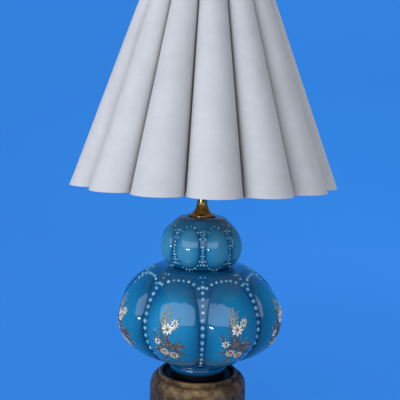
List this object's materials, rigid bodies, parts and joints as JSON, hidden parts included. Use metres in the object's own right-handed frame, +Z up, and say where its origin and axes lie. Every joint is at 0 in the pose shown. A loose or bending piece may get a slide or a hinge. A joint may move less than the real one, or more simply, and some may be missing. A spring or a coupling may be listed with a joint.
{
  "type": "table lamp",
  "caption": "Table lamp with stacked lobed glass bodies on a round metal base, a brass trumpet neck, a lamp socket, a wire harp and a fluted cone shade.",
  "frame": {"origin": "on the floor under the middle of the base", "axes": "+Z up along the lamp's rod, -Y towards the front, where the switch knob is, +X to the right"},
  "size_m": [0.4532, 0.4554, 0.8013],
  "materials": {
    "felt": "pressed wool felt",
    "antique_gold": "mottled antique gold leaf over a dark ground, rubbed",
    "black_lacquer": "satin black",
    "teal_glass": "glossy cased glass with raised beads",
    "dark_brass": "polished, darkened",
    "bright_brass": "plated",
    "zinc_steel": "zinc plated",
    "black_plastic": "moulded",
    "fibre_card": "pressed fibre",
    "white_ceramic": "moulded",
    "lamp_aluminium": "rolled thread",
    "frosted_glass": "inside frosted",
    "shade_wire": "powder coated",
    "shade_linen": "linen on a stiff backing"
  },
  "bodies": {
    "stand": {"felt_pad": "felt", "base_casting": "antique_gold", "cord_bushing": "black_plastic", "base_washer": "zinc_steel", "base_locknut": "zinc_steel", "lamp_pipe": "zinc_steel", "foot_seat": "black_lacquer", "lower_glass": "teal_glass", "waist_collar": "black_lacquer", "upper_glass": "teal_glass", "trumpet_cap": "dark_brass", "neck_locknut": "bright_brass", "harp_saddle": "bright_brass", "socket_cap": "bright_brass", "set_screw": "zinc_steel", "socket_shell": "bright_brass", "socket_insulator": "fibre_card", "socket_block": "white_ceramic", "screw_shell": "lamp_aluminium", "centre_contact": "bright_brass"},
    "switch": {"switch_knob": "black_plastic"},
    "bulb": {"bulb_glass": "frosted_glass", "bulb_cap": "lamp_aluminium", "bulb_tip": "bright_brass"},
    "harp": {"harp_wire": "bright_brass", "harp_stud": "bright_brass"},
    "sleeve_left": {"harp_sleeve_left": "bright_brass"},
    "sleeve_right": {"harp_sleeve_right": "bright_brass"},
    "shade": {"shade_spider": "shade_wire", "shade_top_ring": "shade_wire", "shade_bottom_ring": "shade_wire", "shade_cover": "shade_linen"},
    "finial": {"finial": "dark_brass"}
  },
  "joints": [
    {"name": "switch_turn", "type": "hinge", "parent": "stand", "child": "switch", "pos_m": [0, -0.02, 0.45987], "axis": [0, -1, 0], "continuous": true},
    {"name": "bulb_lift", "type": "slide", "parent": "stand", "child": "bulb", "axis": [0, 0, 1], "range_m": [0, 0.03]},
    {"name": "harp_lift", "type": "slide", "parent": "stand", "child": "harp", "axis": [0, 0, 1], "range_m": [0, 0.03]},
    {"name": "sleeve_left_lift", "type": "slide", "parent": "harp", "child": "sleeve_left", "axis": [0, 0, 1], "range_m": [0, 0.012]},
    {"name": "sleeve_right_lift", "type": "slide", "parent": "harp", "child": "sleeve_right", "axis": [0, 0, 1], "range_m": [0, 0.012]},
    {"name": "shade_turn", "type": "hinge", "parent": "harp", "child": "shade", "pos_m": [0, 0, 0.764], "axis": [0, 0, 1], "continuous": true},
    {"name": "finial_turn", "type": "hinge", "parent": "harp", "child": "finial", "pos_m": [0, 0, 0.78], "axis": [0, 0, 1], "continuous": true}
  ]
}
